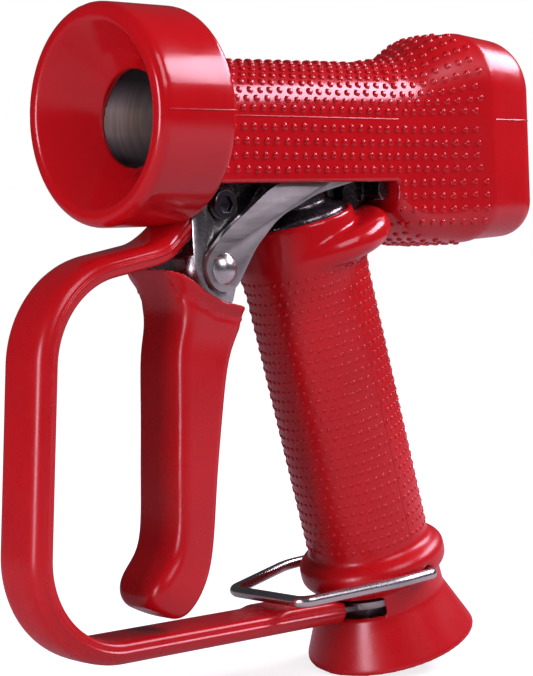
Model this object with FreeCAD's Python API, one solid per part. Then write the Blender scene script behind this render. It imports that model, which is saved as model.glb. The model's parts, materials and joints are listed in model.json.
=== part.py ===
import FreeCAD, Part

import math
import os

from FreeCAD import Rotation, Vector

# Trigger-operated hose nozzle with rubber jackets, in millimetres.
# Shapes are drawn in barrel coordinates: x runs rearwards from the bumper's front face along the barrel's axis,
# y is across, and z is up from that axis. save() then moves each one to the origin, the centre of the inlet
# thread's mouth.

# Barrel and its jacket
BUMPER_R = 33.5
BUMPER_RISE = 1.5
BUMPER_LENGTH = 30.0
RECESS_R = 28.8
NOZZLE_X = 15.6
NOZZLE_BORE_R = 15.6
NOZZLE_R = 17.0
THROAT_X = 38.0
NOZZLE_END = 50.0
BARREL_HALF = 18.5
BARREL_TOP_FRONT = 18.7
BARREL_TOP_REAR = 20.5
BARREL_BOTTOM = -21.2
CUTOUT_START = 30.05
CUTOUT_END = 117.0
BLOCK_START = 158.0
BLOCK_END = 183.0
BLOCK_TOP = 32.3
BLOCK_ROUND = 9.0
BODY_R = 16.4
FLAT_HALF = 13.4
CAVITY_HALF = 16.6
TUBE_BORE_R = 11.0
CHAMBER_R = 9.5
WATERWAY_R = 7.5
JOINT_GAP = 0.04

# Handle: t runs down its axis from the barrel's axis
HANDLE_TILT = math.radians(15.0)
HANDLE_X = 74.6
PIPE_R = 15.5
FLANGE_R = 18.3
FLANGE_TOP = 32.0
FLANGE_BOTTOM = 42.0
RING_TOP = 165.3
RING_THICK = 2.4
INLET_T = 181.0
INLET_R = 9.32
INLET_DEPTH = 17.0
SLEEVE_END = 187.8
COLLAR_END = 52.5
SKIRT_START = 151.0

# Trigger and linkage
PIVOT = Vector(39.0, 0, -27.4)
RIVET = Vector(37.3, 0, -47.6)
CROSS_PIN = Vector(124.0, 0, -7.5)
PIVOT_R = 3.0
RIVET_R = 3.5
CROSS_PIN_R = 2.5
OPEN_PIVOT_GAP = 0.55
RUNNING_GAP = 0.05
EAR_R = 7.2
LEVER_HALF = 12.7
FORK_HALF = 9.6
SHANK_HALF = 8.0
TONGUE_HALF = 5.0
HEAD_FOOT = [(43.2, -57.8), (41.5, -59.6), (37.0, -58.6), (28.6, -53.6)]
LUG_HALF = 8.8
EYE_HALF = 4.6
ARM_INNER = 13.9
ARM_THICK = 2.2
ARM_EYE_R = 7.1
STEM_R = 4.0

# Guard and bail
GUARD_HALF = 10.4
GUARD_INSIDE = 3.2
GUARD_OUTSIDE = 4.2
STRIP_HALF = 7.0
STRIP_INSIDE = 1.0
GUARD_SLEEVE_END = 92.0
BAIL_T = 159.7
BAIL_BACK = 0.4
BAIL_HALF = 27.95
BAIL_WIRE_R = 1.9

Y_AXIS = Vector(0, 1, 0)
SIN, COS = math.sin(HANDLE_TILT), math.cos(HANDLE_TILT)
HANDLE = FreeCAD.Placement(
    Vector(HANDLE_X, 0, 0), Rotation(Vector(COS, 0, SIN), Vector(0, -1, 0), Vector(SIN, 0, -COS), "ZXY")
)


# ---- helpers ----


def on_handle(t, back=0.0):
    """The point at t down the handle's axis, and back from it at a right angle."""
    return Vector(HANDLE_X + t * SIN + back * COS, 0, back * SIN - t * COS)


def rounded_wire(points, radii, closed=True):
    """Straight runs through the points, joined by a tangent arc at each point that has a radius."""
    corners = []
    for i, (point, radius) in enumerate(zip(points, radii)):
        if not radius:
            corners.append((point, point, None))
            continue
        to_last = (points[i - 1] - point).normalize()
        to_next = (points[(i + 1) % len(points)] - point).normalize()
        half = to_last.getAngle(to_next) / 2
        run = radius / math.tan(half)
        middle = point + (to_last + to_next).normalize() * (radius / math.sin(half) - radius)
        corners.append((point + to_last * run, point + to_next * run, middle))
    edges = []
    for i, (first, last, middle) in enumerate(corners):
        if middle is not None:
            edges.append(Part.Arc(first, middle, last).toShape())
        if closed or i < len(corners) - 1:
            following = corners[(i + 1) % len(corners)][0]
            if (following - last).Length > 1e-4:
                edges.append(Part.makeLine(last, following))
    return Part.Wire(edges)


def outline(corners):
    """A closed wire in the plane y = 0 from (x, z) or (x, z, corner radius)."""
    return rounded_wire([Vector(c[0], 0, c[1]) for c in corners], [c[2] if len(c) > 2 else 0 for c in corners])


def plate(corners, half_width, middle=0.0):
    """A plate of that side outline, spread both ways from its middle plane."""
    face = Part.Face(outline(corners))
    face.translate(Vector(0, middle - half_width, 0))
    return face.extrude(Y_AXIS * (2 * half_width))


def turned(corners):
    """A solid of revolution about the barrel's axis, from (x, radius) or (x, radius, corner radius)."""
    return Part.Face(outline(corners)).revolve(Vector(), Vector(1, 0, 0), 360)


def handle_turned(corners):
    """A solid of revolution about the handle's axis, from (t, radius) or (t, radius, corner radius)."""
    face = Part.Face(outline([(c[1], c[0]) + tuple(c[2:]) for c in corners]))
    return face.revolve(Vector(), Vector(0, 0, 1), 360).transformed(HANDLE.toMatrix())


def handle_rod(t0, t1, radius):
    """A round rod along the handle's axis."""
    return handle_turned([(t0, 0), (t0, radius), (t1, radius), (t1, 0)])


def tube(x0, x1, outer, inner=0.0):
    return turned([(x0, inner), (x0, outer), (x1, outer), (x1, inner)])


def cross_rod(centre, radius, y0, y1):
    """A round rod along y."""
    return Part.makeCylinder(radius, y1 - y0, Vector(centre.x, y0, centre.z), Y_AXIS)


def box(x0, x1, half_width, z0, z1):
    return Part.makeBox(x1 - x0, 2 * half_width, z1 - z0, Vector(x0, -half_width, z0))


def hexagon(across_flats, x0, x1):
    """A hexagonal prism about the barrel's axis."""
    radius = across_flats / math.sqrt(3)
    turns = [math.radians(60 * i) for i in range(6)]
    points = [Vector(x0, radius * math.cos(a), radius * math.sin(a)) for a in turns]
    return Part.Face(Part.makePolygon(points + points[:1])).extrude(Vector(x1 - x0, 0, 0))


def section(x, half_width, top, bottom, top_round, bottom_round):
    """A wire across the barrel: a rectangle with rounded corners."""
    points = [
        Vector(x, -half_width, bottom),
        Vector(x, half_width, bottom),
        Vector(x, half_width, top),
        Vector(x, -half_width, top),
    ]
    return rounded_wire(points, [bottom_round, bottom_round, top_round, top_round])


def arch(x0, x1, half_width, bottom):
    """A tunnel with a round top and flat sides."""
    face = Part.Face(section(x0, half_width, half_width, bottom, half_width - 0.05, 0.5))
    return face.extrude(Vector(x1 - x0, 0, 0))


def slab_section(centre, pitch, half_depth, half_width, corner_round):
    """A rounded rectangle across the grip, its depth pitched up from the x axis by that many degrees."""
    along = Vector(math.cos(math.radians(pitch)), 0, math.sin(math.radians(pitch))) * half_depth
    across = Y_AXIS * half_width
    points = [centre + along * a + across * b for a, b in ((-1, -1), (1, -1), (1, 1), (-1, 1))]
    return rounded_wire(points, [corner_round] * 4)


# ---- valve body and nozzle ----


def boss():
    """Cast column from the barrel down into the collar of the handle sleeve."""
    return Part.makeCylinder(6.0, 20.0, Vector(109, 0, -30), Vector(0, 0, 1))


def rear_web():
    """Web behind the boss, which closes the rear of the cut-out in the barrel's jacket."""
    rear = CUTOUT_END - 0.4
    return plate([(112, -12), (112, -27, 2), (rear, -27, 2), (rear, -12)], FLAT_HALF - 0.2)


def valve_barrel(gap):
    """The casting's tube with its flat sides, larger all round by a gap."""
    radius = BODY_R + gap
    return tube(NOZZLE_END, 140.0, radius).common(box(NOZZLE_END, 140.0, FLAT_HALF + gap, -radius, radius))


def handle_pipe_outside(gap):
    """The pipe and its flange without their bore, larger all round by a gap."""
    return handle_turned(
        [(4, 0), (4, 13.2 + gap), (FLANGE_TOP - 3, 13.2 + gap, 2), (FLANGE_TOP - gap, FLANGE_R + gap, 2)]
        + [(FLANGE_BOTTOM, FLANGE_R + gap), (FLANGE_BOTTOM, PIPE_R), (RING_TOP, PIPE_R), (RING_TOP, PIPE_R - 1)]
        + [(INLET_T, PIPE_R - 1), (INLET_T, 0)]
    )


def valve_body():
    """The casting: valve barrel, spring tube, pivot lugs, rear web, and the boss that stands on the flange."""
    barrel = valve_barrel(0)
    spigot = tube(NOZZLE_END - 5.8, NOZZLE_END, 13.5)
    cap_spigot = tube(140.0, 150.0, 13.4)
    lug = [(PIVOT.x - 6.5, PIVOT.z - 6.5, 6.4), (50.5, -33.5, 5.0), (70, -12), (50.2, -12)]
    lug += [(50.2, -19), (PIVOT.x - 6.5, -20.9, 6.0)]
    inner = EYE_HALF + 0.3
    lugs = [plate(lug, (LUG_HALF - inner) / 2, side * (LUG_HALF + inner) / 2) for side in (-1, 1)]
    shape = barrel.multiFuse([spigot, cap_spigot, boss(), rear_web()] + lugs)
    shape = shape.cut(handle_pipe_outside(JOINT_GAP))

    bores = [
        tube(NOZZLE_END - 6, 49.0, 11.0),
        tube(49.0, 96.0, CHAMBER_R),
        tube(95.0, 101.0, STEM_R + 0.1),
        tube(100.0, 112.5, 8.0),
        tube(112.0, 151.0, TUBE_BORE_R),
        box(CROSS_PIN.x - 3.5, CROSS_PIN.x + 12.0, 20, CROSS_PIN.z - 3.2, CROSS_PIN.z + 3.2),
        cross_rod(PIVOT, PIVOT_R, -20, 20),
    ]
    return shape.cut(Part.makeCompound(bores)).cut(handle_rod(0, 20, WATERWAY_R))


def handle_pipe():
    """Pipe down through the handle, with a flange under the boss and the inlet thread's bore."""
    thread_top = INLET_T - INLET_DEPTH
    shape = handle_pipe_outside(0).cut(valve_barrel(JOINT_GAP))
    bores = ((0, 162.1, WATERWAY_R), (162, thread_top + 0.1, 8.6), (thread_top, INLET_T + 1, INLET_R))
    for t0, t1, radius in bores:
        shape = shape.cut(handle_rod(t0, t1, radius))
    hinge = on_handle(BAIL_T, BAIL_BACK)
    for y0 in (-16.0, 12.0):
        shape = shape.cut(cross_rod(hinge, BAIL_WIRE_R + RUNNING_GAP, y0, y0 + 4))
    return shape


def nozzle_head():
    """The steel tube in the bumper."""
    return turned(
        [(NOZZLE_X, NOZZLE_BORE_R, 0.4), (NOZZLE_X, NOZZLE_R), (THROAT_X - 0.05, NOZZLE_R)]
        + [(THROAT_X - 0.05, NOZZLE_BORE_R)]
    )


def nozzle_throat():
    """The narrowing behind the nozzle head, with a thread on the body's spigot."""
    return turned(
        [(THROAT_X, NOZZLE_BORE_R), (THROAT_X, NOZZLE_R), (NOZZLE_END - 0.1, NOZZLE_R)]
        + [(NOZZLE_END - 0.1, 13.5), (NOZZLE_END - 6.2, 13.5), (NOZZLE_END - 6.2, 9.0), (41.5, 9.0, 1)]
    )


def nozzle_o_ring():
    """Sealing ring between the nozzle head and the face of the body's spigot."""
    return Part.makeTorus(12.4, 0.18, Vector(NOZZLE_END - 6.0, 0, 0), Vector(1, 0, 0))


def valve_seat():
    return turned([(44.25, 7.5), (44.25, 11.0), (48.95, 11.0), (48.95, 8.3), (48.2, 7.5)])


# ---- stem group, which slides rearwards to open ----


def valve_stem():
    """Rod with the disc that carries the washer, and the shoulder that carries the crosshead."""
    return turned(
        [(42, 0), (42, 3), (52, 3), (52, 8.8, 0.6), (55, 8.8, 0.6), (55, STEM_R), (117, STEM_R), (117, 5.5)]
        + [(119, 5.5), (119, STEM_R), (137, STEM_R, 0.8), (137, 0)]
    )


def nose_cone():
    """Cone that guides the jet and clamps the washer, screwed onto the stem's front end."""
    profile = turned([(40, 0), (40, 3.2, 1), (47.5, 7.1, 1), (49.4, 7.1), (49.4, 0)])
    return profile.cut(tube(42, 50, 3))


def seat_washer():
    return tube(49.4, 52.0, 9.1, 3.0)


def stem_packing():
    """Two packing rings round the stem, pressed by the gland nut."""
    return Part.makeCompound([tube(x, x + 2.9, 7.95, STEM_R + 0.02) for x in (100.05, 103.05)])


def gland_nut():
    hole = STEM_R + 0.15
    return tube(106.05, 113, 8.0, hole).fuse(hexagon(18.0, 112.55, 116.0).cut(tube(112, 117, hole)))


def crosshead():
    """Sliding block in the spring tube, bored for the stem and for the cross pin under it."""
    block = tube(119.0, 130.0, TUBE_BORE_R - 0.3, STEM_R)
    return block.cut(cross_rod(CROSS_PIN, CROSS_PIN_R, -12, 12))


def crosshead_pin():
    return cross_rod(CROSS_PIN, CROSS_PIN_R, -16.3, 16.3)


def stem_nut():
    return hexagon(11.0, 130.05, 134.0).cut(tube(130, 135, STEM_R))


def return_spring():
    """Compression spring between the crosshead and the rear cap."""
    wire_r, mean_r, start, end = 1.0, 8.6, 130.1, 157.9
    path = Part.makeHelix(4.0, end - start - 2 * wire_r - 0.2, mean_r)
    ring = Part.Wire(Part.makeCircle(wire_r, Vector(mean_r, 0, 0), Y_AXIS))
    coil = Part.Wire(path.Edges).makePipeShell([ring], True, True)
    coil.rotate(Vector(), Y_AXIS, 90)
    coil.translate(Vector(start + wire_r + 0.1, 0, 0))
    return coil


def rear_cap():
    return turned(
        [(140.05, 13.4), (140.05, 16.2, 0.6), (162, 16.2, 1.5), (162, 0), (158, 0), (158, TUBE_BORE_R)]
        + [(150.1, TUBE_BORE_R), (150.1, 13.4)]
    )


# ---- trigger group ----


def lever_head(corners):
    """A side outline spread over the lever's width, with its front rounded off on both sides."""
    plan = [Vector(28.6, -LEVER_HALF, -70), Vector(60, -LEVER_HALF, -70), Vector(60, LEVER_HALF, -70)]
    plan.append(Vector(28.6, LEVER_HALF, -70))
    prism = Part.Face(rounded_wire(plan, [8.0, 0, 0, 8.0])).extrude(Vector(0, 0, 60))
    return plate(corners, LEVER_HALF).common(prism)


def lever_tongue():
    """Shank under the lever's head and the narrow tongue below it, both inside the grip."""
    shank = plate([(30.5, -50), (44.0, -56), (42.5, -67), (31.0, -67)], SHANK_HALF)
    tongue = [(30.5, -61), (43, -61), (35.5, -95), (30.5, -133, 2), (25.5, -133, 2), (27, -95)]
    return shank.fuse(plate(tongue, TONGUE_HALF))


def trigger_lever():
    """Forked casting: two ears on the pivot, a web bored for the rivet, and a tongue inside the grip."""
    ears = [(PIVOT.x - EAR_R, PIVOT.z + EAR_R, 7.1), (PIVOT.x + EAR_R, PIVOT.z + EAR_R, 7.1), (47.2, -46, 8)]
    ears += HEAD_FOOT + [(28.8, -44, 6)]
    shape = lever_head(ears).cut(box(20, 60, FORK_HALF, -43, -10)).fuse(lever_tongue())
    shape = shape.cut(cross_rod(PIVOT, PIVOT_R + RUNNING_GAP, -20, 20))
    return shape.cut(cross_rod(RIVET, RIVET_R, -20, 20))


def trigger_grip():
    """Rubber grip, flared at its mouth and bent forwards at its toe."""
    stations = [
        (34.9, -53.0, -24.0, 17.8, 14.8, 9.0),
        (35.8, -56.0, -20.0, 15.2, 14.2, 7.0),
        (37.0, -62.5, -10.0, 12.4, 12.6, 4.5),
        (34.9, -69.7, -5.0, 11.4, 11.4, 3.5),
        (32.4, -79.0, -2.0, 10.3, 11.4, 3.5),
        (29.7, -101.0, 0.0, 8.8, 11.4, 3.5),
        (27.7, -120.0, 0.0, 7.9, 11.4, 3.5),
        (26.0, -132.5, -6.0, 7.8, 11.4, 3.6),
        (23.2, -140.0, -17.0, 8.7, 11.4, 4.0),
        (17.8, -147.8, -25.0, 9.2, 11.2, 4.6),
        (15.4, -151.8, -27.0, 7.8, 9.8, 4.8),
        (14.4, -153.4, -27.0, 5.4, 7.6, 4.6),
    ]
    wires = []
    for x, z, pitch, half_depth, half_width, corner_round in stations:
        wires.append(slab_section(Vector(x, 0, z), pitch, half_depth, half_width, corner_round))
    mouth = [(5, -30), (5, -46.1), (18.2, -46.3), (22.3, -48.0, 2.5), (29.7, -53.4, 10), (38, -57.6, 14)]
    mouth += [(47.5, -59.6, 20), (58, -60.6), (58, -30)]
    shape = Part.makeLoft(wires, True).cut(plate(mouth, 20)).cut(lever_space())
    for y0, y1 in ((-20, 0.3 - LEVER_HALF), (LEVER_HALF - 0.3, 20)):
        shape = shape.cut(cross_rod(RIVET, ARM_EYE_R + 1.6, y0, y1))
    return shape


def lever_space():
    """What the lever fills inside the grip."""
    head = lever_head([(28.6, -40), (49.0, -40), (49.0, -50)] + HEAD_FOOT)
    return head.fuse(lever_tongue())


def pivot_bolt():
    head = cross_rod(PIVOT, 4.7, -16.2, -FLAT_HALF)
    head = head.makeFillet(0.6, [e for e in head.Edges if e.BoundBox.YMax < -16.1])
    socket = hexagon(5.0, 0, 1.8)
    socket.rotate(Vector(), Vector(0, 0, 1), 90)
    socket.translate(Vector(PIVOT.x, -16.3, PIVOT.z))
    return head.fuse(cross_rod(PIVOT, PIVOT_R, -FLAT_HALF, 17.0)).cut(socket)


def pivot_nut():
    nut = hexagon(9.0, 0, 3.0)
    nut.rotate(Vector(), Vector(0, 0, 1), 90)
    nut.translate(Vector(PIVOT.x, FLAT_HALF, PIVOT.z))
    return nut.cut(cross_rod(PIVOT, PIVOT_R, 0, 20))


def link_rivet():
    """Shank through the lever and both arms, with a domed head outside each arm."""
    head_y = ARM_INNER + ARM_THICK + 0.1
    shank = cross_rod(RIVET, RIVET_R, -head_y, head_y)
    domes = []
    for side in (-1, 1):
        dome = Part.makeSphere(6.2, Vector(RIVET.x, side * (head_y - 3.6), RIVET.z))
        domes.append(dome.common(cross_rod(RIVET, 5.1, *sorted((side * head_y, side * (head_y + 3))))))
    return shank.multiFuse(domes)


def link_arm(side):
    """Curved steel plate from the rivet up to the cross pin."""
    low, front = RIVET.z - ARM_EYE_R, RIVET.x - ARM_EYE_R
    corners = [(front, low, 7.0), (41.3, low, 7.0), (51.0, -41.3, 30), (61.5, -32.0, 30), (80, -24.3, 60)]
    corners += [(105, -19.1), (CROSS_PIN.x, CROSS_PIN.z - 6.2, 4), (CROSS_PIN.x + 6, -13.7, 6)]
    corners += [(CROSS_PIN.x + 6, -1.2, 6), (CROSS_PIN.x - 8, -1.4, 6), (88, -13.5, 40), (60, -21.6, 40)]
    corners += [(38.0, -36.2, 20), (front, -44.0, 8)]
    middle = side * (ARM_INNER + ARM_THICK / 2)
    arm = plate(corners, ARM_THICK / 2, middle)
    arm = arm.cut(cross_rod(RIVET, RIVET_R + RUNNING_GAP, -20, 20))
    return arm.cut(cross_rod(CROSS_PIN, CROSS_PIN_R + OPEN_PIVOT_GAP, -20, 20))


# ---- guard and bail ----


def guard_corners():
    """The guard's centre line, from the pivot eye round the trigger to the ring under the handle."""
    ring = on_handle(RING_TOP + RING_THICK / 2, -19.0)
    return [
        (Vector(33.2, 0, -31.7), 0),
        (Vector(21.0, 0, -41.8), 24),
        (Vector(-24.4, 0, -49.4), 31),
        (Vector(-34.5, 0, -160.4), 30),
        (ring, 8),
        (on_handle(RING_TOP + RING_THICK / 2, -15.5), 0),
    ]


def guard_sweep(half_width, inside, outside, corner_round):
    """A strip with rounded edges, swept along the guard's centre line."""
    points, radii = zip(*guard_corners())
    path = rounded_wire(list(points), list(radii), closed=False)
    along = (points[1] - points[0]).normalize()
    across = along.cross(Y_AXIS)
    corners = [(-half_width, -inside), (half_width, -inside), (half_width, outside), (-half_width, outside)]
    ring = rounded_wire([points[0] + Y_AXIS * y + across * n for y, n in corners], [corner_round] * 4)
    return path.makePipeShell([ring], True, False)


def guard_strip():
    """Steel strip with an eye at the pivot and a ring that the base nut clamps to the pipe."""
    strip = guard_sweep(STRIP_HALF, STRIP_INSIDE, STRIP_INSIDE, 0.4)
    eye = cross_rod(PIVOT, 6.2, -EYE_HALF, EYE_HALF)
    neck = plate([(31.9, -31.6), (33.3, -33.1), (39.6, -27.0), (38.4, -25.8)], EYE_HALF)
    ring_end = RING_TOP + RING_THICK
    ring = handle_turned([(RING_TOP, PIPE_R - 1), (RING_TOP, 19.5), (ring_end, 19.5), (ring_end, PIPE_R - 1)])
    pipe_hole = handle_turned([(160, 0), (160, PIPE_R - 1), (172, PIPE_R - 1), (172, 0)])
    return strip.multiFuse([neck, eye, ring]).cut(pipe_hole).cut(cross_rod(PIVOT, PIVOT_R, -20, 20))


def guard_sleeve():
    """Rubber sleeve on the strip."""
    sleeve = guard_sweep(GUARD_HALF, GUARD_INSIDE, GUARD_OUTSIDE, 2.6)
    sleeve = sleeve.cut(guard_sweep(STRIP_HALF, STRIP_INSIDE, STRIP_INSIDE, 0.4))
    sleeve = sleeve.cut(tube(0, BUMPER_LENGTH + 0.1, BUMPER_R + 0.1))
    for side in (-1, 1):
        sleeve = sleeve.cut(plate([(26, -20), (60, -20), (60, -50), (26, -50)], 2.0, side * (FORK_HALF + 1.6)))
    return sleeve.cut(box(GUARD_SLEEVE_END, 130, 20, -180, -140)).cut(cross_rod(PIVOT, 6.9, -20, 20))


def bail_route():
    """One side of the bail, from inside the pipe wall to the middle of the crossbar."""
    pivot = on_handle(BAIL_T, BAIL_BACK)
    return [
        (Vector(pivot.x, -13.2, pivot.z), 0),
        (Vector(pivot.x, -BAIL_HALF, pivot.z), 2.6),
        (Vector(100.0, -BAIL_HALF, pivot.z - 0.4), 30),
        (Vector(64.2, -17.2, pivot.z - 2.6), 5),
    ]


def latch_wire():
    """Wire bail: two ends hinged in the pipe's wall, two legs and a crossbar."""
    side = bail_route()
    other = [(Vector(p.x, -p.y, p.z), r) for p, r in reversed(side)]
    points, radii = zip(*(side + other))
    path = rounded_wire(list(points), list(radii), closed=False)
    ring = Part.Wire(Part.makeCircle(BAIL_WIRE_R, points[0], Y_AXIS))
    return path.makePipeShell([ring], True, True)


def base_nut():
    """Hexagon nut on the end of the pipe, hidden in the skirt."""
    t0 = RING_TOP + RING_THICK + 0.05
    nut = hexagon(33.0, t0, t0 + 8.0)
    nut.rotate(Vector(), Y_AXIS, -90)
    nut = nut.transformed(HANDLE.toMatrix())
    return nut.cut(handle_turned([(160, 0), (160, PIPE_R - 1), (190, PIPE_R - 1), (190, 0)]))


def inlet_washer():
    top = INLET_T - INLET_DEPTH - 1.9
    return handle_turned([(top, 6.0), (top, 8.55), (top + 1.8, 8.55), (top + 1.8, 6.0)])


# ---- rubber jackets ----


def barrel_jacket():
    """Bumper, barrel cover and rear block in one moulding, open underneath for the linkage."""
    bumper = turned(
        [(NOZZLE_X, NOZZLE_BORE_R), (0, RECESS_R, 2.2), (0, BUMPER_R, 3.4), (BUMPER_LENGTH, BUMPER_R, 2)]
        + [(BUMPER_LENGTH, NOZZLE_BORE_R)]
    )
    taller = FreeCAD.Matrix()
    taller.scale(1, 1, 1 + BUMPER_RISE / (2 * BUMPER_R))
    taller.move(0, 0, BUMPER_RISE / 2)
    bumper = bumper.transformGeometry(taller)
    ends = [
        (BUMPER_LENGTH - 2, BARREL_HALF, BARREL_TOP_FRONT, BARREL_BOTTOM, BARREL_HALF - 0.05, 1.0),
        (CUTOUT_END, BARREL_HALF, BARREL_TOP_REAR, BARREL_BOTTOM, BARREL_HALF - 0.05, 1.0),
    ]
    barrel = Part.makeLoft([section(*s) for s in ends], True)
    stations = [
        (CUTOUT_END, BARREL_HALF, BARREL_TOP_REAR, -31.0, BARREL_HALF - 0.05, 6.0),
        (125.0, 18.6, 21.8, -38.0, 18.4, 8.0),
        (133.0, 19.4, 23.8, -41.4, 18.6, 10.0),
        (141.0, 20.8, 28.2, -42.2, 18.8, 11.0),
        (149.0, 23.2, 31.2, -42.6, 19.4, 12.0),
        (BLOCK_START, 26.5, BLOCK_TOP, -41.8, 20.5, 13.0),
    ]
    shoulder = Part.makeLoft([section(*s) for s in stations], True)
    ends = [stations[-1], (BLOCK_END, 26.3, BLOCK_TOP - 2.4, -40.8, 20.5, 13.0)]
    block = Part.makeLoft([section(*s) for s in ends], True)
    block = block.makeFillet(BLOCK_ROUND, [e for e in block.Edges if e.BoundBox.XMin > BLOCK_END - 0.01])
    shape = shoulder.fuse(block).fuse(barrel).fuse(bumper)
    spaces = [
        tube(NOZZLE_X, NOZZLE_END + 0.5, NOZZLE_R),
        arch(CUTOUT_START, CUTOUT_END, CAVITY_HALF, -60),
        arch(CUTOUT_END - 1, 142, CAVITY_HALF, -18.6),
        tube(141, 162.2, 16.4),
        tube(NOZZLE_X - 20, NOZZLE_X + 1, NOZZLE_BORE_R),
    ]
    for space in spaces:
        shape = shape.cut(space)
    return shape


def whole_sleeve():
    """The handle's rubber in one: rolled collar, grip, bead, neck and skirt."""
    grip = handle_turned(
        [(33.0, FLANGE_R), (33.0, 20.4, 0.9), (46.0, 22.0), (56.0, 21.1, 20), (151.5, 21.1, 3)]
        + [(152.5, 25.6, 4), (161.0, 25.6, 4), (162.0, 22.4, 2), (170.0, 22.6, 4)]
        + [(SLEEVE_END, 30.2, 0.8), (SLEEVE_END, 26.0, 0.8), (178, 21.0), (RING_TOP - 0.3, 20.5)]
        + [(RING_TOP - 0.3, PIPE_R), (FLANGE_BOTTOM, PIPE_R), (FLANGE_BOTTOM, FLANGE_R)]
    )
    roll = Part.Wire(Part.Ellipse(Vector(), 27.5, 26.6).toShape())
    roll = Part.Face(roll).extrude(Vector(0, 0, 10.0))
    roll = roll.makeFillet(4.8, roll.Edges)
    roll.rotate(Vector(), Vector(0, 0, 1), 90)
    roll.rotate(Vector(), Y_AXIS, 5)
    roll.translate(Vector(6.2, 0, 38.6))
    roll = roll.transformed(HANDLE.toMatrix())
    core = handle_turned([(30, 0), (30, 20.0), (55, 20.0), (55, 0)])
    shape = grip.fuse(roll.cut(core)).cut(boss())
    slot = Part.makeBox(24.0, 33.0, 6.8, Vector(-32.0, -16.5, 163.2))
    shape = shape.cut(slot.transformed(HANDLE.toMatrix()))
    hinge = on_handle(BAIL_T, BAIL_BACK)
    for y0 in (-30.0, 15.0):
        shape = shape.cut(cross_rod(hinge, BAIL_WIRE_R + 0.5, y0, y0 + 15))
    return shape


def handle_collar():
    """Rolled collar round the flange."""
    return whole_sleeve().common(handle_rod(0, COLLAR_END, 60))


def handle_sleeve():
    """Grip sleeve."""
    return whole_sleeve().common(handle_rod(COLLAR_END + JOINT_GAP, SKIRT_START, 60))


def handle_skirt():
    """Bead, neck and skirt under the grip sleeve."""
    return whole_sleeve().common(handle_rod(SKIRT_START + JOINT_GAP, SLEEVE_END + 1, 60))


# ---- files ----

PARTS = {
    "valve_body": valve_body,
    "handle_pipe": handle_pipe,
    "nozzle_head": nozzle_head,
    "nozzle_throat": nozzle_throat,
    "nozzle_o_ring": nozzle_o_ring,
    "valve_seat": valve_seat,
    "valve_stem": valve_stem,
    "nose_cone": nose_cone,
    "seat_washer": seat_washer,
    "stem_packing": stem_packing,
    "gland_nut": gland_nut,
    "crosshead": crosshead,
    "crosshead_pin": crosshead_pin,
    "stem_nut": stem_nut,
    "return_spring": return_spring,
    "rear_cap": rear_cap,
    "trigger_lever": trigger_lever,
    "trigger_grip": trigger_grip,
    "pivot_bolt": pivot_bolt,
    "pivot_nut": pivot_nut,
    "link_rivet": link_rivet,
    "link_arm_near": lambda: link_arm(-1),
    "link_arm_far": lambda: link_arm(1),
    "guard_strip": guard_strip,
    "guard_sleeve": guard_sleeve,
    "latch_wire": latch_wire,
    "base_nut": base_nut,
    "inlet_washer": inlet_washer,
    "barrel_jacket": barrel_jacket,
    "handle_collar": handle_collar,
    "handle_sleeve": handle_sleeve,
    "handle_skirt": handle_skirt,
}


def save():
    os.makedirs("parts", exist_ok=True)
    to_origin = on_handle(INLET_T).negative()
    for name, make in PARTS.items():
        shape = make()
        if not shape.isValid() or not shape.Solids:
            print("not a valid solid:", name)
        shape = shape.Solids[0] if len(shape.Solids) == 1 else Part.makeCompound(shape.Solids)
        shape.translate(to_origin)
        shape.exportStep("parts/" + name + ".step")
        b = shape.BoundBox
        print(f"{name:16s} {len(shape.Solids)} {shape.Volume:10.1f}", end=" ")
        print(*(round(v, 1) for v in (b.XMin, b.XMax, b.YMin, b.YMax, b.ZMin, b.ZMax)))


save()
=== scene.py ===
import json
import math
import random

import bmesh
import bpy
from mathutils import Matrix, Vector
from mathutils.bvhtree import BVHTree

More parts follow.
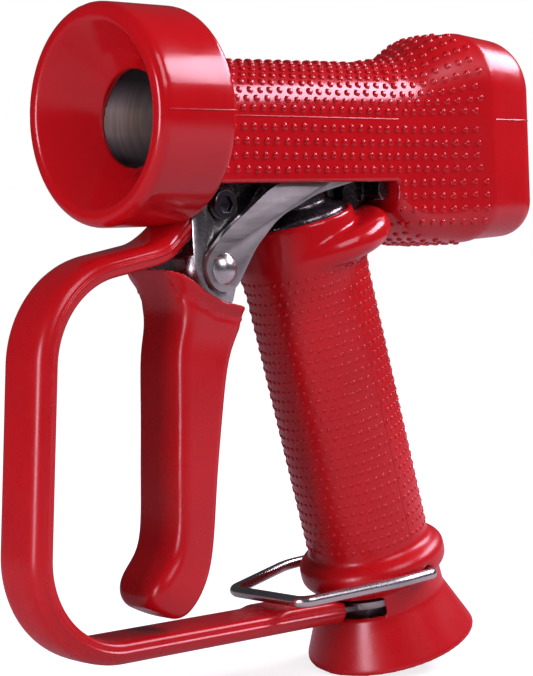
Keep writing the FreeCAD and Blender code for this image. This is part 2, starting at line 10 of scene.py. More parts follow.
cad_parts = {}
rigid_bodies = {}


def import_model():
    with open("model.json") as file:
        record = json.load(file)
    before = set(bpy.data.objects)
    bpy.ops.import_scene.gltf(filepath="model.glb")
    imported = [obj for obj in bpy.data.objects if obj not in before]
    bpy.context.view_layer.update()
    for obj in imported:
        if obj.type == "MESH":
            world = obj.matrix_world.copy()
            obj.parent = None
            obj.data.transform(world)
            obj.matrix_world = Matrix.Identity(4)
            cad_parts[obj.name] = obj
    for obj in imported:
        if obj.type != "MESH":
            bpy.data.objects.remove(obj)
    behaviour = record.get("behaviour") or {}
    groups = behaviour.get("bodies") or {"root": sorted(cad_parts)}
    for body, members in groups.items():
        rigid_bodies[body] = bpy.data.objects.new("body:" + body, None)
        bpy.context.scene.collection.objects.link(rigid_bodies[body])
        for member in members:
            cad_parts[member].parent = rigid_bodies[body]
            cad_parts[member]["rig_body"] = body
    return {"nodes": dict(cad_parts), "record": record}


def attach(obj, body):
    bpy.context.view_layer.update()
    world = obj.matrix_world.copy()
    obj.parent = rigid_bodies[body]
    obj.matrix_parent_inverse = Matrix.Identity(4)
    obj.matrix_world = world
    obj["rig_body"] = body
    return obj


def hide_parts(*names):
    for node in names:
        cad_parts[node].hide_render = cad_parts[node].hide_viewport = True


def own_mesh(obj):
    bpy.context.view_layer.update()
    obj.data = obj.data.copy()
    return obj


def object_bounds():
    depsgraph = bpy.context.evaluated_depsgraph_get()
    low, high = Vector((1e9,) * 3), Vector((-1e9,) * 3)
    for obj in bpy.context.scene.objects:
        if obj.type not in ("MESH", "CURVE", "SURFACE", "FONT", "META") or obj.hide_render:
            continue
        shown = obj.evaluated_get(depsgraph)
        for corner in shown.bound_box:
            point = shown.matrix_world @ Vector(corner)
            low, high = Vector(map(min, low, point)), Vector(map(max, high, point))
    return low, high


# Looks of the trigger-operated hose nozzle. Lengths are in millimetres, in the CAD's barrel coordinates:
# x runs rearwards from the bumper's front face along the barrel's axis, y is across, z is up from the axis.

MM = 0.001
BARREL_ORIGIN = Vector((-121.446, 0.0, 174.833))
HANDLE_X, HANDLE_TILT = 74.6, math.radians(15.0)
SIN, COS = math.sin(HANDLE_TILT), math.cos(HANDLE_TILT)
OUTSIDE = 60.0  # further from the axis than any of the rubber

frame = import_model()
cad_low, cad_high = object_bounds()
NODES = frame["nodes"]
SLOT_OF = {row["node"]: row["material_slot"] for row in frame["record"]["subparts"]}
random.seed(7)

# ---- camera and lights ----

CAMERA_ANGLES = (-43.33, 2.99, -2.40)  # azimuth, elevation, roll
CAMERA_PLACE = (-338.19, -431.57, -40.32)
CAMERA_LENS = 95.81
# name, direction, distance and size in metres, power, colour
LIGHTS = (
    ("key", (0.72, -0.34, 0.62), 1.0, (0.8, 0.32), 11.0, (1.0, 0.80, 1.0)),
    ("front", (-0.10, -0.85, 0.70), 1.4, (0.7, 0.7), 7.5, (1.0, 0.84, 1.0)),
    ("left", (-1.0, -0.08, 0.14), 1.2, (0.30, 0.5), 7.0, (1.0, 0.84, 1.0)),
)
LIGHTS_AIM = Vector((0.0, 0.0, 0.1))  # metres above the inlet

# ---- the rubber's finish: rougher towards the rear and low down, both measured from the inlet ----

REAR_FROM, REAR_TO, REAR_ROUGHER = -10.0, 20.0, 0.08
LOW_FROM, LOW_TO, LOW_ROUGHER = 112.0, 140.0, 0.13

# ---- pimples and parting lines ----

# radius, height
DOME = ((1.26, -0.08), (1.10, 0.08), (0.95, 0.42), (0.74, 0.60), (0.44, 0.67), (0.15, 0.68))
DOME_SIDES = 10
PIMPLE_X, PIMPLE_PITCH, PIMPLE_COLUMNS = 36.9, 4.4, 28
SIDE_ROWS, SIDE_SHIFT, SIDE_END = (-3.4, -8.0, -12.5, -16.9), 0.8, 154.0
BLOCK_X, BLOCK_TOP, BLOCK_DROP, BLOCK_LOW = 119.5, -17.0, 4.6, -36.5
TOP_ROWS, TOP_END = 19, 155.0
UNDER_X, UNDER_ACROSS = 122.0, 4.5
HANDLE_AROUND, HANDLE_DOWN, HANDLE_T, HANDLE_PITCH = 46, 29, 50.5, 3.42
PARTING_CLEAR = 0.9985  # sine of the angle beyond which a pimple would stand on the parting line
PARTINGS = (("bumper", 2.5, 29.0), ("barrel", 35.5, 117.0), ("band", 159.0, 181.0))
PARTING_STEP = 1.5
SIDES = (("near", -1), ("far", 1))

# ---- the guard: its section (across, outwards), its path (x, z, radius) and its pad ----

GUARD_HALF, FORK_INSIDE = 10.64, 9.3
GUARD_PROFILE = [
    (0.0, 4.2), (4.0, 4.15), (6.6, 3.95), (8.0, 3.55), (9.0, 2.85), (9.75, 1.95), (10.15, 1.0),
    (10.0, 0.66), (10.50, 0.36), (GUARD_HALF, 0.0), (10.50, -0.36), (10.0, -0.66), (10.1, -1.5),
    (9.8, -2.4), (9.1, -3.0), (8.2, -3.2), (4.0, -3.2),
]
RING_T, RING_FORWARD = 166.5, 19.0
RUN_START, RUN_FALL = (-34.5, -160.4), 0.0397
GUARD_FOOT_Z, GUARD_END_X = -150.0, 92.0
NARROW_ABOVE, NARROW_FROM, NARROW_OVER = -60.0, 21.0, 5.0
PAD_START, PAD_END, PAD_RISE, PAD_SLOPE = 56.5, 88.0, 0.9, 1.2

# ---- the grip's mouth: its line (x, z), and the rim and the hollow as (size, depth, width) ----

MOUTH_LINE = (
    (14.0, -46.2), (18.2, -46.3), (22.3, -48.0), (29.7, -53.4),
    (38.0, -57.4), (47.5, -59.6), (58.0, -60.6),
)
RIM, HOLLOW = (0.45, 0.6, 1.1), (0.75, 4.2, 1.7)
MOUTH_LOW, MOUTH_DEEP = -75.0, 8.0
TONGUE_HALF, TONGUE_END = 8.2, 46.0

# ---- the funnel's edge round the nozzle tube ----

NOZZLE_X, NOZZLE_BORE_R = 15.6, 15.6
RECESS_R = 28.8
LIP_R, LIP_WORN_R, LIP_OUTER_R = 15.2, 16.3, 19.6
LIP_FROM_X, LIP_INNER_R = 9.0, 13.0
BUMPER_LIFT, BUMPER_STRETCH = 0.75, 0.0224

# ---- the parts whose edges are broken ----

EDGED = (
    "link_arm_near", "link_arm_far", "trigger_lever", "guard_strip", "base_nut", "pivot_bolt",
    "pivot_nut", "stem_nut", "gland_nut", "nozzle_head", "nozzle_throat", "rear_cap",
)


# ---- places ----


def at(x, y, z):
    """A point of the barrel coordinates, in metres in the model's frame."""
    return (Vector((x, y, z)) + BARREL_ORIGIN) * MM


def on_handle(t, back=0.0, side=0.0):
    """A point down the handle's axis, back from it and to one side of it."""
    return at(HANDLE_X + t * SIN + back * COS, side, back * SIN - t * COS)


def link(name, mesh):
    """A new object in the scene with this mesh."""
    obj = bpy.data.objects.new(name, mesh)
    bpy.context.scene.collection.objects.link(obj)
    return obj


def evaluated(obj):
    """The object's mesh with its modifiers applied."""
    graph = bpy.context.evaluated_depsgraph_get()
    mesh = bpy.data.meshes.new_from_object(obj.evaluated_get(graph))
    obj.modifiers.clear()
    obj.data = mesh
    return obj


def smooth(obj, angle=None):
    """Smooth shading, with edges sharper than an angle kept where one is given."""
    obj.data.shade_smooth()
    if angle is not None:
        obj.data.set_sharp_from_angle(angle=math.radians(angle))
    return obj


def copy_of(nodes, name):
    """One welded copy of some CAD nodes."""
    work = bmesh.new()
    for node in nodes:
        work.from_mesh(NODES[node].data)
    bmesh.ops.remove_doubles(work, verts=work.verts, dist=2e-6)
    bmesh.ops.dissolve_degenerate(work, edges=work.edges, dist=1e-6)
    for layer in list(work.loops.layers.uv.values()):
        work.loops.layers.uv.remove(layer)
    mesh = bpy.data.meshes.new(name)
    work.to_mesh(mesh)
    work.free()
    return link(name, mesh)


def moulded(nodes, name, voxel, rounds):
    """The shape of some CAD nodes with every edge softened, as a moulding has them."""
    obj = copy_of(nodes, name)
    remesh = obj.modifiers.new("remesh", "REMESH")
    remesh.mode = "VOXEL"
    remesh.voxel_size = voxel * MM
    soften = obj.modifiers.new("soften", "SMOOTH")
    soften.factor = 0.5
    soften.iterations = rounds
    evaluated(obj)
    return smooth(obj)


def bevelled(node, name, width, angle=32):
    """A CAD node's shape with its edges broken."""
    obj = copy_of([node], name)
    flat = obj.modifiers.new("flat", "DECIMATE")
    flat.decimate_type = "DISSOLVE"
    flat.angle_limit = math.radians(1.5)
    bevel = obj.modifiers.new("bevel", "BEVEL")
    bevel.width = width * MM
    bevel.segments = 2
    bevel.limit_method = "ANGLE"
    bevel.angle_limit = math.radians(angle)
    evaluated(obj)
    return smooth(obj, 40)


def place(obj, body, slot, material, *nodes):
    """Give a piece its finish, the body it rides on and the CAD nodes it stands in for."""
    obj.data.materials.clear()
    obj.data.materials.append(material)
    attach(obj, body)
    if nodes:
        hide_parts(*nodes)
    return obj


# ---- materials ----


class Nodes:
    """Short ways to add shader nodes to one material."""

    def __init__(self, name):
        self.material = bpy.data.materials.new(name)
        self.material.use_nodes = True
        self.tree = self.material.node_tree
        self.shader = self.tree.nodes["Principled BSDF"]
        self.place = self.tree.nodes.new("ShaderNodeTexCoord").outputs["Object"]

    def add(self, kind, inputs=(), **settings):
        node = self.tree.nodes.new(kind)
        for key, value in settings.items():
            setattr(node, key, value)
        for key, value in dict(inputs).items():
            if isinstance(value, bpy.types.NodeSocket):
                self.tree.links.new(value, node.inputs[key])
            else:
                node.inputs[key].default_value = value
        return node

    def noise(self, scale, detail=3.0, rough=0.5, stretch=None):
        source = self.place
        if stretch:
            source = self.add("ShaderNodeMapping", {"Vector": source, "Scale": stretch}).outputs[0]
        return self.add(
            "ShaderNodeTexNoise", {"Vector": source, "Scale": scale, "Detail": detail, "Roughness": rough}
        ).outputs["Fac"]

    def ramp(self, value, low, high, to_low=0.0, to_high=1.0):
        return self.add(
            "ShaderNodeMapRange",
            {"Value": value, "From Min": low, "From Max": high, "To Min": to_low, "To Max": to_high},
        ).outputs[0]

    def mix(self, factor, first, second):
        node = self.add("ShaderNodeMix", {"Factor": factor}, data_type="RGBA")
        for socket, colour in ((node.inputs[6], first), (node.inputs[7], second)):
            if isinstance(colour, bpy.types.NodeSocket):
                self.tree.links.new(colour, socket)
            else:
                socket.default_value = (*colour, 1.0)
        return node.outputs[2]

    def maths(self, operation, first, second):
        return self.add("ShaderNodeMath", {0: first, 1: second}, operation=operation).outputs[0]

    def bump(self, *layers):
        """Bumps laid over each other, from (height, strength, distance in millimetres)."""
        last = None
        for height, strength, distance in layers:
            inputs = {"Height": height, "Strength": strength, "Distance": distance * MM}
            if last is not None:
                inputs["Normal"] = last
            last = self.add("ShaderNodeBump", inputs).outputs[0]
        self.tree.links.new(last, self.shader.inputs["Normal"])

    def worn(self, low=0.52, high=0.60):
        """How far a point is on a raised edge."""
        point = self.add("ShaderNodeNewGeometry").outputs["Pointiness"]
        return self.ramp(point, low, high)

    def finish(self, colour, roughness, **constants):
        self.tree.links.new(colour, self.shader.inputs["Base Color"])
        if isinstance(roughness, bpy.types.NodeSocket):
            self.tree.links.new(roughness, self.shader.inputs["Roughness"])
        else:
            self.shader.inputs["Roughness"].default_value = roughness
        for key, value in constants.items():
            self.shader.inputs[key.replace("_", " ")].default_value = value
        return self.material


def rubber_material(name, colour, dark, base_rough=0.15):
    """Moulded rubber: darker patches, a fine grain, pale specks and slightly worn edges."""
    n = Nodes(name)
    patches = n.ramp(n.noise(22.0, 4.0, 0.6), 0.35, 0.7)
    grain = n.noise(2600.0, 2.0)
    specks = n.ramp(n.noise(1300.0, 2.0, 0.7), 0.70, 0.76)
    tone = n.mix(n.maths("MULTIPLY", patches, 0.55), colour, dark)
    tone = n.mix(n.maths("MULTIPLY", n.worn(), 0.3), tone, tuple(min(1.0, c * 1.2) for c in colour))
    tone = n.mix(n.maths("MULTIPLY", specks, 0.05), tone, (0.7, 0.25, 0.28))
    rough = n.maths(
        "ADD",
        n.ramp(n.noise(60.0, 5.0, 0.65), 0.3, 0.7, base_rough - 0.05, base_rough + 0.06),
        n.maths("MULTIPLY", specks, 0.12),
    )
    where = n.add("ShaderNodeSeparateXYZ", {0: n.place})
    rearwards = n.ramp(where.outputs[0], REAR_FROM * MM, REAR_TO * MM, 0.0, REAR_ROUGHER)
    rough = n.maths("ADD", rough, rearwards)
    downwards = n.ramp(where.outputs[2], LOW_FROM * MM, LOW_TO * MM, LOW_ROUGHER, 0.0)
    rough = n.maths("ADD", rough, downwards)
    n.bump((n.noise(420.0, 4.0, 0.6), 0.08, 0.10), (grain, 0.10, 0.04))
    return n.finish(tone, rough, Specular_IOR_Level=0.45)


def bored_material(name):
    """Turned steel, with painted shade darkening it above and below the axis: fine rings round the bore,
    which draw a light out along it.
    """
    n = Nodes(name)
    rings = n.noise(900.0, 3.0, 0.6, (1.0, 0.05, 0.05))
    tone = n.mix(n.ramp(rings, 0.3, 0.7), (0.88, 0.88, 0.88), (0.58, 0.56, 0.59))
    height = n.add("ShaderNodeSeparateXYZ", {0: n.place}).outputs[2]
    # painted shade: the bore turns near black towards its top and bottom, away from the axis, where its
    # wall faces away from the light
    painted_shade_off_axis = n.maths("ABSOLUTE", n.maths("SUBTRACT", height, BARREL_ORIGIN.z * MM), 0.0)
    tone = n.mix(n.ramp(painted_shade_off_axis, 4.0 * MM, 13.0 * MM, 0.0, 0.92), tone, (0.05, 0.045, 0.05))
    around = n.add("ShaderNodeTangent", direction_type="RADIAL", axis="X").outputs[0]
    n.tree.links.new(around, n.shader.inputs["Tangent"])
    n.bump((rings, 0.25, 0.03), (n.noise(240.0, 3.0), 0.08, 0.08))
    rough = n.ramp(n.noise(60.0, 4.0), 0.3, 0.7, 0.34, 0.44)
    return n.finish(tone, rough, Metallic=1.0, Anisotropic=0.75, Anisotropic_Rotation=0.25)


def cast_material(name):
    """A lumpy, pitted casting under a wet-looking black coat."""
    n = Nodes(name)
    lumps = n.noise(300.0, 5.0, 0.62)
    pits = n.noise(1100.0, 3.0, 0.6)
    tone = n.mix(n.ramp(n.noise(120.0, 3.0), 0.35, 0.65), (0.006, 0.006, 0.007), (0.016, 0.015, 0.017))
    rough = n.ramp(pits, 0.3, 0.7, 0.12, 0.34)
    n.bump((lumps, 0.8, 0.45), (pits, 0.6, 0.14))
    return n.finish(tone, rough, Specular_IOR_Level=0.7, Coat_Weight=0.9, Coat_Roughness=0.07)


def metal_material(name, colour, dark, rough, stretch=None, scratch=0.12, wear=0.0):
    """Bare or blackened metal with a grain that can be stretched one way, smears and worn edges."""
    n = Nodes(name)
    grain = n.noise(1400.0, 3.0, 0.6, stretch)
    smear = n.noise(60.0, 4.0, 0.6)
    tone = n.mix(n.ramp(smear, 0.3, 0.72), colour, dark)
    if wear:
        tone = n.mix(n.maths("MULTIPLY", n.worn(), wear), tone, (0.62, 0.61, 0.60))
    spread = n.maths(
        "ADD", n.ramp(grain, 0.25, 0.75, rough - 0.07, rough + 0.07), n.ramp(smear, 0.3, 0.7, -0.04, 0.06)
    )
    n.bump((grain, scratch, 0.04), (n.noise(240.0, 3.0), 0.08, 0.08))
    return n.finish(tone, spread, Metallic=1.0)


RED = (0.56, 0.0060, 0.0100)
DEEP_RED = (0.43, 0.0040, 0.0085)
MATERIALS = {
    "red_rubber": rubber_material("rubber_red", RED, DEEP_RED),
    "seal_rubber": rubber_material("rubber_black", (0.02, 0.02, 0.02), (0.012, 0.012, 0.012), 0.5),
    "black_casting": cast_material("casting_black"),
    "steel": metal_material(
        "steel_brushed", (0.45, 0.47, 0.44), (0.30, 0.31, 0.30), 0.36, (0.04, 1.0, 1.0)
    ),
    "bore_steel": bored_material("steel_bored"),
    "lever_metal": metal_material("lever_cast", (0.50, 0.52, 0.49), (0.14, 0.14, 0.14), 0.24, scratch=0.25),
    "black_steel": metal_material(
        "steel_black", (0.05, 0.05, 0.055), (0.025, 0.025, 0.028), 0.38, scratch=0.3, wear=0.5
    ),
    "spring_steel": metal_material("steel_spring", (0.45, 0.45, 0.46), (0.30, 0.30, 0.31), 0.28),
    "wire_steel": metal_material(
        "steel_wire", (0.62, 0.63, 0.60), (0.44, 0.45, 0.43), 0.24, (1.0, 0.05, 1.0), scratch=0.03
    ),
    "brass": metal_material("brass_plain", (0.70, 0.46, 0.16), (0.55, 0.34, 0.10), 0.30),
}


# ---- studio ----


def camera():
    """In front of the bumper and to the near side, below the barrel's axis, looking slightly down."""
    azimuth, elevation, roll = (math.radians(angle) for angle in CAMERA_ANGLES)
    level = math.cos(elevation)
    back = Vector((math.sin(azimuth) * level, -math.cos(azimuth) * level, math.sin(elevation)))
    right = (-back).cross(Vector((0, 0, 1))).normalized()
    up = right.cross(-back)
    turned_right = right * math.cos(roll) + up * math.sin(roll)
    turned_up = up * math.cos(roll) - right * math.sin(roll)
    data = bpy.data.cameras.new("camera")
    data.lens = CAMERA_LENS
    data.sensor_width = 36.0
    data.clip_start, data.clip_end = 0.01, 20.0
    obj = bpy.data.objects.new("camera", data)
    basis = Matrix((turned_right, turned_up, back)).transposed().to_4x4()
    obj.matrix_world = Matrix.Translation(at(*CAMERA_PLACE)) @ basis
    bpy.context.scene.collection.objects.link(obj)
    bpy.context.scene.camera = obj


def area_light(name, direction, distance, size, power, colour):
    """A rectangular light that faces the object from one direction."""
    data = bpy.data.lights.new(name, "AREA")
    data.shape = "RECTANGLE"
    data.size, data.size_y = size
    data.energy = power
    data.color = colour
    obj = bpy.data.objects.new(name, data)
    towards = Vector(direction).normalized()
    obj.location = LIGHTS_AIM + towards * distance
    obj.rotation_mode = "QUATERNION"
    obj.rotation_quaternion = (-towards).to_track_quat("-Z", "Y")
    bpy.context.scene.collection.objects.link(obj)


def world():
    """White to the camera, and a faint mauve light on the object."""
    made = bpy.data.worlds.new("studio")
    made.use_nodes = True
    tree = made.node_tree
    out = tree.nodes["World Output"]
    seen, lit = tree.nodes["Background"], tree.nodes.new("ShaderNodeBackground")
    seen.inputs["Color"].default_value = (1.0, 1.0, 1.0, 1.0)
    lit.inputs["Color"].default_value = (0.95, 0.84, 1.0, 1.0)
    lit.inputs["Strength"].default_value = 0.06
    path, mix = tree.nodes.new("ShaderNodeLightPath"), tree.nodes.new("ShaderNodeMixShader")
    tree.links.new(path.outputs["Is Camera Ray"], mix.inputs[0])
    tree.links.new(lit.outputs[0], mix.inputs[1])
    tree.links.new(seen.outputs[0], mix.inputs[2])
    tree.links.new(mix.outputs[0], out.inputs["Surface"])
    bpy.context.scene.world = made


def floor():
    """A pale sheet under the object, white to the camera so that it runs into the white surroundings."""
    work = bmesh.new()
    bmesh.ops.create_grid(work, x_segments=4, y_segments=4, size=8.0)
    mesh = bpy.data.meshes.new("floor")
    work.to_mesh(mesh)
    work.free()
    obj = link("floor", mesh)
    obj.location = (0, 0, cad_low.z - 0.0004)
    n = Nodes("floor_pale")
    tone = n.mix(n.noise(3.0), (0.62, 0.62, 0.63), (0.58, 0.58, 0.59))
    mesh.materials.append(n.finish(tone, 0.8, Specular_IOR_Level=0.1))
    away = n.add("ShaderNodeVectorMath", {0: n.place}, operation="LENGTH").outputs["Value"]
    glow = n.ramp(away, 0.1, 0.6, 0.80, 1.0)
    white = n.add("ShaderNodeEmission", {"Color": (1.0, 1.0, 1.0, 1.0), "Strength": glow})
    both = n.add("ShaderNodeAddShader", {0: n.shader.outputs[0], 1: white.outputs[0]})
    path = n.add("ShaderNodeLightPath")
    seen = path.outputs["Is Camera Ray"]
    shown = n.add("ShaderNodeMixShader", {0: seen, 1: n.shader.outputs[0], 2: both.outputs[0]})
    n.tree.links.new(shown.outputs[0], n.tree.nodes["Material Output"].inputs["Surface"])


def studio():
    """Plain white surroundings with three soft lights."""
    scene = bpy.context.scene
    scene.view_settings.view_transform = "Standard"
    scene.view_settings.look = "None"
    camera()
    world()
    floor()
    for light in LIGHTS:
        area_light(*light)


# ---- small raised things on the rubber ----


def surface(obj):
    """A tree of an object's faces, for casting rays at."""
    graph = bpy.context.evaluated_depsgraph_get()
    return BVHTree.FromObject(obj, graph)


def hit(tree, start, towards):
    """Where a ray first meets the surface, with the surface's direction there."""
    spot, normal, _, _ = tree.ray_cast(start, (towards - start).normalized())
    if spot is None:
        return None
    if normal.dot(towards - start) > 0:
        normal = -normal
    return spot, normal


def add_dome(work, foot, normal, size, height):
    """One flat-topped pimple standing on a surface."""
    turn = normal.to_track_quat("Z", "Y").to_matrix()
    rings = []
    for radius, lift in DOME:
        ring = []
        for i in range(DOME_SIDES):
            a = 2 * math.pi * i / DOME_SIDES
            spot = Vector((radius * size * math.cos(a), radius * size * math.sin(a), lift * height)) * MM
            ring.append(work.verts.new(foot + turn @ spot))
        rings.append(ring)
    for low, high in zip(rings, rings[1:]):
        for i in range(DOME_SIDES):
            after = (i + 1) % DOME_SIDES
            work.faces.new((low[i], low[after], high[after], high[i]))
    work.faces.new(rings[-1])
    work.faces.new(list(reversed(rings[0])))


def domes(name, hits, size, height):
    """One piece with a dome at each place hit, each a little different in size."""
    work = bmesh.new()
    for found in hits:
        if found is not None:
            vary = random.uniform(0.92, 1.08)
            add_dome(work, found[0], found[1], size * vary, height * random.uniform(0.9, 1.1))
    mesh = bpy.data.meshes.new(name)
    work.to_mesh(mesh)
    work.free()
    return smooth(link(name, mesh))


def wobble():
    """How far a pimple strays from its row."""
    return random.uniform(-0.22, 0.22)


def barrel_pimples(tree):
    """Rows along both sides of the barrel, on the block's lower sides, over the top and under the block."""
    hits = []
    for _, side in SIDES:
        for row, z in enumerate(SIDE_ROWS):
            for i in range(-1 if row > 1 else 0, PIMPLE_COLUMNS):
                x = PIMPLE_X + PIMPLE_PITCH * i + (SIDE_SHIFT if row % 2 else 0.0) + wobble()
                if x > SIDE_END:
                    continue
                level = z + wobble()
                hits.append(hit(tree, at(x, side * OUTSIDE, level), at(x, 0, level)))
        for row in range(1, 5):
            for i in range(9):
                x = BLOCK_X + PIMPLE_PITCH * i + wobble()
                z = BLOCK_TOP - BLOCK_DROP * row + wobble()
                if x < TOP_END and z > BLOCK_LOW:
                    hits.append(hit(tree, at(x, side * OUTSIDE, z), at(x, 0, z)))
    for row in range(TOP_ROWS):
        angle = math.pi * (row + 0.85) / (TOP_ROWS + 0.7)
        for i in range(PIMPLE_COLUMNS):
            x = PIMPLE_X + PIMPLE_PITCH * i + (PIMPLE_PITCH / 2 if row % 2 else 0.0) + wobble()
            if x > TOP_END:
                continue
            turn = angle + wobble() * 0.03
            centre = at(x, 0, 0)
            out = Vector((0, -math.cos(turn), math.sin(turn))) * (OUTSIDE * MM)
            hits.append(hit(tree, centre + out, centre))
    for row in range(-3, 4):
        for i in range(8):
            x = UNDER_X + PIMPLE_PITCH * i + wobble()
            y = UNDER_ACROSS * row + (PIMPLE_PITCH / 2 if i % 2 else 0) + wobble()
            hits.append(hit(tree, at(x, y, -70), at(x, y, 0)))
    return domes("barrel_pimples", hits, size=1.08, height=1.0)


def handle_pimples(tree):
    """Staggered rings round the handle, left out on the parting lines."""
    hits = []
    for row in range(HANDLE_DOWN):
        for i in range(HANDLE_AROUND):
            a = 2 * math.pi * (i + (0.5 if row % 2 else 0.0)) / HANDLE_AROUND
            if abs(math.sin(a)) > PARTING_CLEAR:
                continue
            t = HANDLE_T + HANDLE_PITCH * row + random.uniform(-0.15, 0.15)
            out = on_handle(t, 40 * math.cos(a), 40 * math.sin(a))
            hits.append(hit(tree, out, on_handle(t)))
    return domes("handle_pimples", hits, size=0.66, height=0.50)


def ridge(name, tree, path, half_width, height):
    """A thin raised line on a surface, along rays from one list of points towards another."""
    work = bmesh.new()
    rows = []
    last = None
    for start, end in path:
        found = hit(tree, start, end)
        if found is None:
            continue
        spot, normal = found
        if last is None:
            along = (path[1][0] - path[0][0]).normalized()
        else:
            along = (spot - last).normalized()
        last = spot
        across = along.cross(normal).normalized() * half_width * MM
        base = spot - normal * 0.12 * MM
        rows.append([
            base - across,
            spot - across * 0.6 + normal * height * 0.7 * MM,
            spot + normal * height * MM,
            spot + across * 0.6 + normal * height * 0.7 * MM,
            base + across,
        ])
    verts = [[work.verts.new(p) for p in row] for row in rows]
    for low, high in zip(verts, verts[1:]):
        for i in range(4):
            work.faces.new((low[i], low[i + 1], high[i + 1], high[i]))
        work.faces.new((low[4], low[0], high[0], high[4]))
    work.faces.new(verts[0])
    work.faces.new(list(reversed(verts[-1])))
    bmesh.ops.recalc_face_normals(work, faces=work.faces)
    mesh = bpy.data.meshes.new(name)
    work.to_mesh(mesh)
    work.free()
    return smooth(link(name, mesh), 50)


def rounded_path(corners, step=1.0):
    """Points along straight runs joined by tangent arcs, from (x, z, radius)."""
    points = [Vector((x, z)) for x, z, _ in corners]
    path = [points[0]]
    for i in range(1, len(points) - 1):
        corner, radius = points[i], corners[i][2]
        to_last = (points[i - 1] - corner).normalized()
        to_next = (points[i + 1] - corner).normalized()
        half = to_last.angle(to_next) / 2
        run = radius / math.tan(half)
        middle = corner + (to_last + to_next).normalized() * (radius / math.sin(half))
        first, last = corner + to_last * run - middle, corner + to_next * run - middle
        turn = first.angle_signed(last)
        count = max(2, int(abs(turn) * radius / step))
        for k in range(count + 1):
            a = -turn * k / count
            cos_a, sin_a = math.cos(a), math.sin(a)
            spoke = Vector((first.x * cos_a - first.y * sin_a, first.x * sin_a + first.y * cos_a))
            path.append(middle + spoke)
    path.append(points[-1])
    even = [path[0]]
    for point in path[1:]:
        gap = (point - even[-1]).length
        pieces = max(1, int(gap / (2 * step)))
        start = even[-1]
        if gap > 1e-4:
            even += [start.lerp(point, (k + 1) / pieces) for k in range(pieces)]
    return even


def swept(name, path, profile):
    """A profile of (across, outwards) carried along a path in the plane y = 0."""
    work = bmesh.new()
    rows = []
    for i, point in enumerate(path):
        along = (path[min(i + 1, len(path) - 1)] - path[max(i - 1, 0)]).normalized()
        out = Vector((along.y, -along.x))
        rows.append([work.verts.new(at(point.x + out.x * n, y, point.y + out.y * n)) for y, n in profile])
    size = len(profile)
    for low, high in zip(rows, rows[1:]):
        for i in range(size):
            work.faces.new((low[i], low[(i + 1) % size], high[(i + 1) % size], high[i]))
    work.faces.new(rows[0])
    work.faces.new(list(reversed(rows[-1])))
    bmesh.ops.recalc_face_normals(work, faces=work.faces)
    mesh = bpy.data.meshes.new(name)
    work.to_mesh(mesh)
    work.free()
    return link(name, mesh)


def raise_pad(guard):
    """The guard's inner face stands up in a round-nosed pad under the bail's crossbar."""
    for vertex in guard.data.vertices:
        spot = vertex.co / MM - BARREL_ORIGIN
        centre = RUN_START[1] - (spot.x - RUN_START[0]) * RUN_FALL
        on_run = centre + 2.0 < spot.z < GUARD_FOOT_Z
        if on_run and PAD_START < spot.x < PAD_END:
            nose = PAD_START + 0.06 * spot.y ** 2
            vertex.co.z += PAD_RISE * MM * max(0.0, min(1.0, (spot.x - nose) / PAD_SLOPE))


def build_guard():
    """The guard's rubber, narrowed where it enters the trigger's fork."""
    ring = (HANDLE_X + RING_T * SIN - RING_FORWARD * COS, -RING_FORWARD * SIN - RING_T * COS)
    corners = [
        (33.0, -31.9, 0), (21.0, -41.8, 24), (-24.4, -49.4, 31),
        (*RUN_START, 30), (*ring, 8), (99.0, -159.0, 0),
    ]
    path = [p for p in rounded_path(corners) if p.y > GUARD_FOOT_Z or p.x < GUARD_END_X]
    profile = GUARD_PROFILE + [(-y, n) for y, n in reversed(GUARD_PROFILE) if y > 0]
    guard = swept("guard_skin", path, profile)
    for vertex in guard.data.vertices:
        x = vertex.co.x / MM - BARREL_ORIGIN.x
        inside = max(0.0, min(1.0, (x - NARROW_FROM) / NARROW_OVER))
        if vertex.co.z / MM - BARREL_ORIGIN.z > NARROW_ABOVE:
            vertex.co.y *= 1 - inside * (1 - FORK_INSIDE / GUARD_HALF)
    raise_pad(guard)
    guard.modifiers.new("round", "SUBSURF").levels = 1
    evaluated(guard)
    return smooth(guard, 75)


def mouth_depth(x, z):
    """How far a point of the grip lies under its mouth, in millimetres."""
    point, best = Vector((x, z)), math.inf
    for first, last in zip(MOUTH_LINE, MOUTH_LINE[1:]):
        a, b = Vector(first), Vector(last)
        share = max(0.0, min(1.0, (point - a).dot(b - a) / (b - a).length_squared))
        best = min(best, (point - a.lerp(b, share)).length)
    return best


def swell(depth, size, middle, width):
    """The height of a soft roll that is highest at one depth."""
    return size * math.exp(-((depth - middle) / width) ** 2)


def build_grip():
    """The grip, with a rolled rim and a hollow under it round the mouth."""
    grip = moulded(["trigger_grip"], "trigger_skin", voxel=0.5, rounds=3)
    for vertex in grip.data.vertices:
        spot = vertex.co / MM - BARREL_ORIGIN
        in_socket = abs(spot.y) < TONGUE_HALF and spot.x < TONGUE_END
        if spot.z < MOUTH_LOW or in_socket:
            continue
        depth = mouth_depth(spot.x, spot.z)
        if depth < MOUTH_DEEP and abs(vertex.normal.y) + abs(vertex.normal.x) > 0.75:
            lift = swell(depth, *RIM) - swell(depth, *HOLLOW)
            vertex.co += Vector((vertex.normal.x, vertex.normal.y, 0)) * lift * MM
    return grip


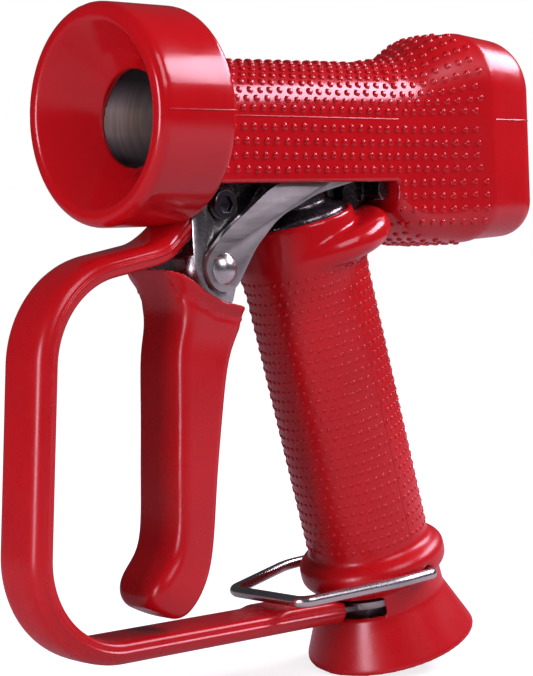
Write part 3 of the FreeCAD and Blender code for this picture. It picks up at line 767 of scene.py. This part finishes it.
def draw_in_lip(jacket):
    """The funnel's thin edge, which softening wears back, drawn in again round the steel tube's bore."""
    slope = NOZZLE_X / (RECESS_R - NOZZLE_BORE_R)
    for vertex in jacket.data.vertices:
        spot = vertex.co / MM - BARREL_ORIGIN
        height = (spot.z - BUMPER_LIFT) / (1 + BUMPER_STRETCH)
        radius = math.hypot(spot.y, height)
        if not (LIP_FROM_X < spot.x < NOZZLE_X + 2.0 and LIP_INNER_R < radius < LIP_OUTER_R):
            continue
        share = max(0.0, (radius - LIP_WORN_R) / (LIP_OUTER_R - LIP_WORN_R))
        drawn = LIP_R + share * (LIP_OUTER_R - LIP_R)
        along = (radius - drawn) * slope
        across = drawn / radius
        lifted = height * across * (1 + BUMPER_STRETCH * share) + BUMPER_LIFT * share
        vertex.co = at(spot.x + along, spot.y * across, lifted)


def build_rubber():
    """The jacket, the handle's rubber, the guard and the grip, with their pimples and parting lines."""
    red = MATERIALS["red_rubber"]
    jacket = moulded(["barrel_jacket"], "barrel_skin", voxel=0.8, rounds=4)
    draw_in_lip(jacket)
    place(jacket, "gun", "red_rubber", red, "barrel_jacket")
    handle_nodes = ("handle_collar", "handle_sleeve", "handle_skirt")
    sleeve = moulded(handle_nodes, "handle_skin", voxel=0.7, rounds=4)
    place(sleeve, "gun", "red_rubber", red, *handle_nodes)
    place(build_guard(), "gun", "red_rubber", red, "guard_sleeve")
    place(build_grip(), "trigger", "red_rubber", red, "trigger_grip")

    tree = surface(jacket)
    place(barrel_pimples(tree), "gun", "red_rubber", red)
    for word, side in SIDES:
        for part, x0, x1 in PARTINGS:
            count = int((x1 - x0) / PARTING_STEP) + 2
            xs = [x0 + (x1 - x0) * i / (count - 1) for i in range(count)]
            path = [(at(x, side * OUTSIDE, 0.0), at(x, 0, 0.0)) for x in xs]
            line = ridge(f"parting_{part}_{word}", tree, path, half_width=0.30, height=0.28)
            place(line, "gun", "red_rubber", red)
    tree = surface(sleeve)
    place(handle_pimples(tree), "gun", "red_rubber", red)
    for word, side in SIDES:
        path = [(on_handle(t, 0, side * OUTSIDE), on_handle(t)) for t in range(50, 150, 2)]
        line = ridge(f"parting_handle_{word}", tree, path, half_width=0.26, height=0.22)
        place(line, "gun", "red_rubber", red)


def build_spring():
    """The return spring, smoothed, on a mesh of its own."""
    spring = smooth(copy_of(["return_spring"], "spring_skin"), 35)
    place(spring, "gun", "spring_steel", MATERIALS["spring_steel"], "return_spring")
    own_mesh(spring)


def build_metal():
    """Plates and turned parts get broken edges, the casting a softened skin, and the rest a finish."""
    for node in EDGED:
        obj = bevelled(node, node + "_skin", width=0.25)
        slot = SLOT_OF[node]
        finish = "bore_steel" if node == "nozzle_head" else slot
        place(obj, NODES[node]["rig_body"], slot, MATERIALS[finish], node)
    cast_nodes = ("valve_body", "handle_pipe")
    casting = moulded(cast_nodes, "casting_skin", voxel=0.55, rounds=3)
    place(casting, "gun", "black_casting", MATERIALS["black_casting"], *cast_nodes)
    for node, obj in NODES.items():
        if obj.hide_render:  # a piece stands in for it
            continue
        obj.data.materials.clear()
        obj.data.materials.append(MATERIALS[SLOT_OF[node]])
        smooth(obj, 35)


studio()
build_rubber()
build_spring()
build_metal()
